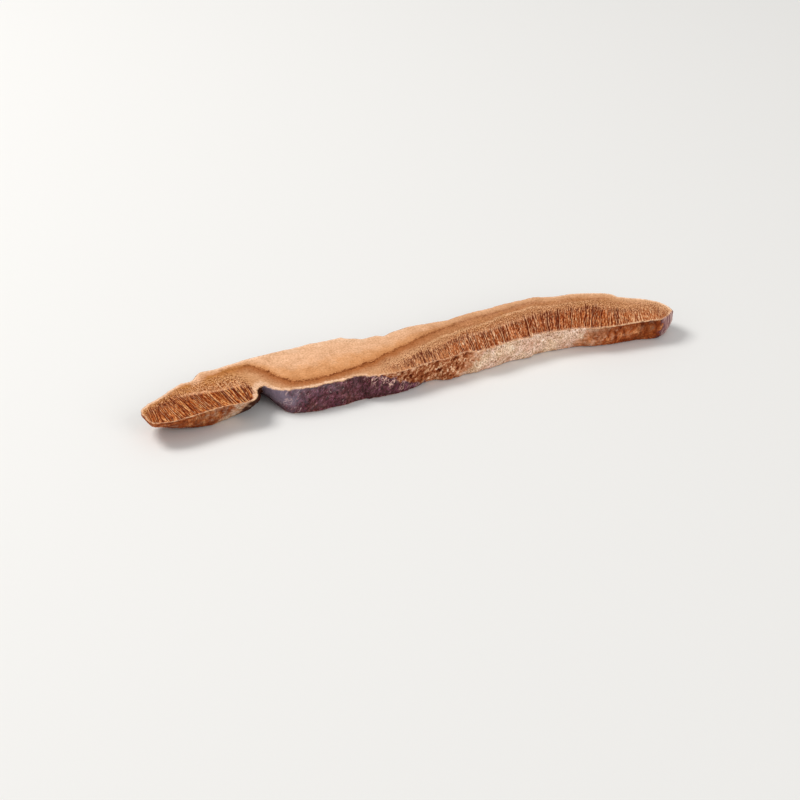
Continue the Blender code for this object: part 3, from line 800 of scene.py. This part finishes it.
# ---- finishes ------------------------------------------------
def cut_finish(mottling):
    """The cut faces: cream rim, corky flesh, brown growth lines and opened tubes."""
    material, shader, place, along, field = new_material("cut_flesh_and_tubes")
    grain = put(place.id_data, "UVMap", {"uv_map": "grain"}).outputs[0]
    dry = place_group(mottling, Place=place, Patches_per_metre=330.0, Grains_per_metre=2300.0,
                      Patch_contrast=0.16, Grain_contrast=nudged(0.27, field("corkiness"), 0.16))
    broad = minus(noisy(place, 420.0, 2.0), 0.5)
    fine = minus(noisy(place, 1900.0, 2.0), 0.5)
    wander = plus(times(broad, 1.1), times(fine, 2.3))
    patchy = nudged(along, broad, 0.012)

    # Flesh: cream under the crust, corky towards both ends, smooth and pale in the thick middle.
    line = plus(field("line"), wander)
    from_crust = nudged(field("from_crust"), wander, 0.8)
    corky_lobe = banded(
        reckon("DIVIDE", from_crust, field("rim_width")),
        (0.0, 240, 192, 158), (0.6, 224, 170, 130), (1.0, 198, 136, 90), (1.4, 186, 122, 66),
        (2.6, 188, 122, 66), (3.8, 196, 136, 86))
    corky = banded(
        from_crust, (0.0, 224, 170, 128), (0.6, 216, 162, 121), (1.2, 211, 157, 116),
        (1.9, 206, 150, 108), (2.5, 190, 132, 92), (3.3, 191, 131, 88), (5.0, 194, 134, 90),
        (7.0, 192, 132, 88))
    corky = mixed(between(patchy, 0.0, -0.03), corky, corky_lobe)
    pale = banded(
        nudged(field("flesh_share"), broad, 0.5), (0.0, 236, 190, 154), (0.12, 231, 181, 142),
        (0.45, 230, 178, 138), (0.68, 221, 161, 113), (0.88, 211, 147, 96), (1.0, 200, 135, 85))
    under = banded(
        times(line, -1.0), (0.0, 168, 102, 58), (1.0, 174, 110, 68), (2.0, 190, 130, 88),
        (3.3, 208, 154, 112), (8.0, 208, 152, 108))
    flesh = mixed(field("pale_flesh"), corky, mixed(between(line, 0.25, -0.25), pale, under))

    # Growth lines: a soft reddish band, the brown line with specks beside it, and the light line.
    from_line = reckon("ABSOLUTE", line)
    below_line = most(times(line, -0.55), times(line, 1.6))
    on_band = times(between(below_line, 1.2, 0.1), field("band_strength"))
    broken = between(noisy(place, 1000.0, 4.0, 0.7), 0.38, 0.54, 0.15)
    on_line = times(between(from_line, 0.5, 0.12), field("line_strength"), broken, 0.95)
    specks = between(noisy(place, 2300.0, 1.0), 0.58, 0.66)
    near_line = times(between(from_line, 2.0, 0.2), field("line_strength"), specks, 0.75)
    light = nudged(field("light_line"), wander, 0.45)
    beside_light = times(between(light, 1.9, 0.7), field("light_strength"), 0.32)
    on_light = times(between(light, 0.6, 0.2), field("light_strength"), 0.8)
    olive = between(noisy(place, 260.0, 3.0, 0.6), 0.5, 0.62)
    ruddy = between(noisy(stretched(place, (2.5, 1.0, 1.0)), 520.0, 3.0, 0.6), 0.52, 0.64)

    # Tubes: fine streaks along the grain, granular where they start and in the older layer.
    short = noisy(stretched(grain, (1.0, 5.5, 1.0)), 44.0, 1.5, 0.55)
    long = noisy(stretched(grain, (1.0, 24.0, 1.0)), 34.0, 1.5, 0.55)
    streaks = plus(times(short, 0.45), times(long, 0.55))
    tubes = banded(streaks, (0.365, 80, 14, 0), (0.425, 120, 40, 0), (0.485, 178, 94, 46),
                   (0.55, 216, 146, 100), (0.62, 255, 214, 174))
    tubes = tinted(tubes, banded(
        patchy, (-0.062, 236, 212, 178), (-0.052, 246, 226, 190), (-0.043, 255, 248, 214),
        (-0.02, 255, 248, 232), (0.008, 255, 255, 255), (0.022, 250, 247, 245),
        (0.036, 242, 226, 214), (0.046, 248, 232, 210), (0.054, 255, 255, 250)))
    tubes = mixed(between(patchy, 0.049, 0.058, 0.0, 0.2), tubes, (206, 136, 92))
    tube = field("tube")
    granules = noisy(stretched(grain, (1.0, 1.9, 1.0)), 42.0, 2.0, 0.6)
    granular = banded(granules, (0.37, 92, 34, 6), (0.45, 150, 84, 40), (0.55, 194, 126, 76),
                      (0.63, 238, 180, 130))
    tubes = mixed(times(field("old_tubes"), tube), tubes, granular)
    from_middle = reckon("ABSOLUTE", minus(patchy, 0.002))
    tube_share = times(tube, between(from_middle, 0.003, 0.010, 0.62), 0.95)
    depth = field("tube_depth")
    at_start = times(between(depth, -3.2, -1.0), between(depth, 4.0, 1.2),
                     between(field("tube_reach"), 0.0, 0.4))
    dark_start = times(at_start, between(granules, 0.47, 0.40), 0.85)
    light_start = times(at_start, between(granules, 0.53, 0.60), 0.65)
    old_line = times(field("old_line"), between(granules, 0.34, 0.46, 0.5), 0.95)

    # The worn edges of the cut are lightest, and the edge above the crust has a painted highlight too.
    # All of this lies over the flesh in turn.
    uneven = between(noisy(place, 620.0, 3.0, 0.6), 0.38, 0.56, 0.35)
    at_edge = between(nudged(field("edge"), fine, 1.2), 1.15, 0.45)
    at_rim = between(nudged(field("from_crust"), fine, 0.5), 0.62, 0.12)
    colour = layered(
        flesh, (on_band, (178, 108, 60)), (on_line, (112, 52, 20)), (near_line, (126, 66, 32)),
        (beside_light, (164, 102, 60)), (on_light, (224, 172, 128)),
        (times(olive, field("corkiness"), 0.25), (182, 122, 62)),
        (times(ruddy, field("corkiness"), 0.35), (170, 104, 68)),
        (tube_share, tubes), (dark_start, (104, 42, 10)), (light_start, (238, 186, 140)),
        (between(field("lip"), 0.15, 0.8, 0.0, 0.6), (244, 190, 144)),
        # Opened tubes: their dark brown, with the painted shade of their hollows on it.
        (between(field("opened"), 0.05, 0.45, 0.0, 0.9), (92, 20, 0)), (old_line, (238, 178, 136)),
        (times(at_edge, field("edge_strength"), uneven), (246, 204, 170)),
        # Worn edge above the crust, with a painted highlight.
        (times(at_rim, field("bright_edge"), 0.9), (252, 212, 176)))
    set_up(shader, Base_Color=tinted(colour, dry["Shade"]), Specular_IOR_Level=0.03, Roughness=0.85)
    bumped(shader, plus(minus(dry["Grains"], 0.5), times(streaks, tube, 2.0)), 0.7, 0.00025)
    return material


def skin_finish(mottling, curls):
    """The walls: lacquered crust, torn skin, whitish pore skin and bruised pore skin."""
    material, shader, place, along, field = new_material("crust_and_pore_skin")
    wander = minus(noisy(place, 500.0, 5.0, 0.7), 0.5)
    down = field("down")

    def patch(name, push=1.8, low=0.38, high=0.62):
        """Where a skin shows, with a ragged border."""
        return between(nudged(field(name), wander, push), low, high)

    def dotted(patches, grains, contrast, *stops):
        """A skin's own colours in soft patches with grains on them, and those grains."""
        dry = place_group(mottling, Place=place, Patches_per_metre=patches,
                          Grains_per_metre=grains, Patch_contrast=0.0, Grain_contrast=contrast)
        return tinted(banded(dry["Patches"], *stops), dry["Shade"]), dry["Grains"]

    # Lacquered crust: fine slanting grain, browner in patches and on the far side, greyed by bloom and by
    # a painted bluish sheen of reflected light, stronger high on the wall.
    slanted = stretched(place, (2.0, 1.0, 1.0), (0.0, -0.9, 0.0))
    lacquer_dry = place_group(mottling, Place=slanted, Patches_per_metre=700.0,
                              Grains_per_metre=3400.0, Patch_contrast=0.15, Grain_contrast=1.2)
    lacquer = tinted(banded(
        noisy(slanted, 1500.0, 3.0, 0.65), (0.34, 56, 18, 22), (0.45, 86, 37, 43),
        (0.55, 104, 53, 62), (0.68, 142, 92, 102)), lacquer_dry["Shade"])
    browner = tinted(lacquer, banded(
        noisy(place, 230.0, 3.0), (0.38, 228, 205, 225), (0.5, 250, 240, 235), (0.62, 255, 255, 190)))
    lacquer = mixed(0.6, lacquer, browner)
    lacquer = mixed(field("far_side"), lacquer, (255, 238, 172), "MULTIPLY")
    # Painted sheen: grey-blue reflected light painted over the lacquer together with its bloom, stronger
    # higher up the wall.
    bloom_and_sheen = times(field("bloom_and_sheen"), between(down, 0.95, 0.15, 0.35))
    bloom_and_sheen_share = between(nudged(bloom_and_sheen, wander, 2.2), 0.05, 1.35, 0.0, 0.75)
    lacquer = mixed(bloom_and_sheen_share, lacquer, (146, 132, 150))

    # Torn skin: light where it stands out, dark in its pits.
    long_flecks = noisy(stretched(place, (2.6, 1.0, 1.0), (0.0, -0.8, 0.0)), 1500.0, 3.0, 0.6)
    flecks = plus(times(long_flecks, 0.6), times(noisy(place, 2300.0, 3.0, 0.65), 0.4))
    proud = nudged(times(field("proud"), 0.5), minus(flecks, 0.5), 4.0)
    torn_dry = place_group(mottling, Place=place, Patches_per_metre=500.0,
                           Grains_per_metre=2600.0, Patch_contrast=0.25, Grain_contrast=0.5)
    torn = tinted(banded(proud, (-0.55, 82, 24, 8), (-0.2, 140, 70, 36), (0.12, 180, 106, 66),
                         (0.42, 232, 176, 132), (0.8, 255, 218, 188)), torn_dry["Shade"])
    beside_crust = times(between(along, 0.001, -0.004), 0.5)
    torn = mixed(beside_crust, torn, (188, 152, 140), "MULTIPLY")

    # Whitish pore skin with pinholes in it.
    pale, pale_grains = dotted(600.0, 3300.0, 0.85, (0.3, 196, 148, 116), (0.45, 226, 187, 159),
                               (0.6, 242, 208, 183), (0.8, 255, 230, 210))
    pale = tinted(pale, banded(noisy(place, 200.0, 2.0), (0.38, 255, 249, 250),
                               (0.5, 255, 255, 255), (0.62, 255, 255, 245)))
    pores = put(place.id_data, "TexVoronoi", {"feature": "F1"}, Vector=place, Scale=1500.0)
    near_pore = between(nudged(pores.outputs["Distance"], wander, 1.1), 0.34, 0.14)
    shown = most(between(noisy(place, 330.0, 2.0), 0.50, 0.66), times(between(down, 0.25, 0.05), 0.7))
    pale = mixed(times(near_pore, shown, 0.9), pale, (112, 56, 28))

    # Bruised pore skin, with threads from face to face, tan beside the whitish skin.
    bruised = dotted(480.0, 2500.0, 0.6, (0.3, 128, 54, 22), (0.43, 172, 86, 40),
                     (0.54, 196, 108, 58), (0.64, 220, 146, 94), (0.78, 250, 190, 142))[0]
    threads = noisy(stretched(place, (1.0, 1.0, 5.0)), 1700.0, 3.0, 0.65)
    bruised = tinted(bruised, banded(
        threads, (0.36, 168, 136, 120), (0.48, 232, 222, 216), (0.6, 255, 255, 255)))
    tan = dotted(520.0, 2100.0, 0.7, (0.34, 178, 110, 72), (0.5, 212, 150, 110), (0.66, 240, 190, 156))[0]
    dark_top = times(between(nudged(down, wander, 0.5), 0.5, 0.05), between(along, 0.040, 0.045), 0.4)

    # Each skin lies where its patch is. Scratches, dust, stain and painted shade, worn top edges, a
    # painted highlight along the crust's foot and painted highlight streaks at the tip come over them.
    is_crust = patch("crust")
    torn_near = times(between(field("torn"), 0.0, 0.5), is_crust)
    marks = place_group(curls, Place=slanted, Threads_per_metre=900.0, Patches_per_metre=420.0,
                        Cover=0.7, Width=0.034)
    mark_share = between(along, -0.002, -0.008, 0.45)
    scratches = place_group(curls, Place=slanted, Threads_per_metre=620.0, Patches_per_metre=520.0,
                            Cover=nudged(0.3, field("bloom_and_sheen"), 0.2), Width=0.024)
    dusty = between(noisy(place, 330.0, 3.0), 0.46, 0.62)
    dust = between(noisy(place, 1900.0, 2.0, 0.6), 0.66, 0.73)
    broken = between(noisy(place, 700.0, 3.0), 0.42, 0.58)
    chipped = between(noisy(place, 1300.0, 2.0), 0.40, 0.56, 0.25)
    at_top = between(nudged(down, wander, 0.08), 0.04, 0.01, 0.0, 0.9)
    ragged = most(field("torn"), field("pale"))
    # Painted highlight streaks of the glossy tip, light and dark by turns.
    painted_tip_highlights = banded(
        noisy(stretched(place, (1.0, 1.0, 7.0)), 1500.0, 3.0, 0.6), (0.34, 104, 60, 64),
        (0.47, 158, 108, 106), (0.55, 202, 156, 146), (0.65, 240, 208, 198))
    at_tip = between(nudged(along, wander, 0.003), 0.0604, 0.0618, 0.0, 0.8)
    colour = layered(
        bruised, (times(patch("pale", 1.2, 0.0, 0.25), 0.8), tan), (dark_top, (84, 26, 8)),
        (patch("pale", 2.4, 0.25, 0.75), pale), (patch("torn"), torn), (is_crust, lacquer),
        (times(marks["Thread"], torn_near, mark_share), (246, 198, 182)),
        (times(scratches["Thread"], is_crust, 0.65), (218, 184, 182)),
        (times(dust, dusty, is_crust, 0.7), (208, 178, 176)),
        # Dark stains, and painted shade in the hollow by the notch, where the stain share is full.
        (times(patch("stain_and_shade", 0.8, 0.0, 1.0), 0.92), (42, 12, 7)),
        # Painted highlight where the lower edge of the crust catches the light.
        (times(between(down, 0.93, 0.98), broken, is_crust, 0.6), (176, 116, 98)),
        (times(at_top, chipped, between(ragged, 0.0, 0.8, 1.0, 0.3)), (240, 192, 150)),
        (times(at_tip, minus(1.0, field("far_side"))), painted_tip_highlights))
    set_up(shader, Base_Color=colour, Roughness=between(is_crust, 0.0, 1.0, 0.8, 0.5),
           Coat_Weight=times(is_crust, between(down, 0.99, 0.85), 0.35),
           Specular_IOR_Level=0.06, Coat_Roughness=0.28)
    height = plus(plus(pale_grains, lacquer_dry["Grains"]), times(wander, 1.5))
    bumped(shader, height, 0.6, 0.0002)
    return material


# ---- table, light and camera ---------------------------------
def table_top():
    """The plain pale table."""
    bpy.ops.object.select_all(action="DESELECT")
    bpy.ops.mesh.primitive_plane_add(size=6.0, location=(0, 0, 0))
    floor = bpy.context.object
    floor.name = "table_top"
    material = bpy.data.materials.new("pale_table")
    material.use_nodes = True
    set_up(material.node_tree.nodes["Principled BSDF"], Base_Color=(237, 237, 236), Roughness=0.6)
    floor.data.materials.append(material)
    return floor


def hung(seen, place, back):
    """A lamp or camera hung at its place, with its back turned in the given direction."""
    holder = bpy.data.objects.new(seen.name, seen)
    holder.location = place
    holder.rotation_euler = back.to_track_quat("Z", "Y").to_euler()
    bpy.context.collection.objects.link(holder)
    return holder


def soft_box(name, place, width, watts, colour):
    """A square studio lamp that faces the slice."""
    lamp = bpy.data.lights.new(name, "AREA")
    lamp.shape = "SQUARE"
    lamp.size = width
    lamp.energy = watts
    lamp.color = colour
    hung(lamp, place, Vector(place))


def studio_light():
    """A large soft lamp from the far left, a weak one near the viewer and a pale room."""
    soft_box("key_lamp", place=(-0.40, 0.38, 0.66), width=0.35, watts=4.9, colour=(1.0, 0.98, 0.95))
    soft_box("fill_lamp", place=(0.30, -0.62, 0.40), width=0.5, watts=1.8, colour=(1.0, 0.99, 0.98))
    world = bpy.data.worlds.new("pale_room")
    world.use_nodes = True
    background = world.node_tree.nodes["Background"]
    background.inputs["Color"].default_value = (1.0, 0.99, 0.975, 1)
    background.inputs["Strength"].default_value = 0.45
    bpy.context.scene.world = world
    bpy.context.scene.view_settings.view_transform = "Standard"


def camera():
    """The camera, at the photograph's angle to the slice."""
    round_z, up = math.radians(VIEW_ROUND), math.radians(VIEW_UP)
    back = Vector((math.sin(round_z) * math.cos(up), -math.cos(round_z) * math.cos(up), math.sin(up)))
    eye = bpy.data.cameras.new("viewer")
    eye.lens = LENS
    eye.clip_start = 0.01
    bpy.context.scene.camera = hung(eye, Vector(LOOK_AT) + back * VIEW_DISTANCE, back)


camera()
studio_light()
table_top()
mottling, curls = mottling_group(), curls_group()
cap = sliced_cap(cut_finish(mottling), skin_finish(mottling, curls))
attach(cap, "root")
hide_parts("reishi_slice")
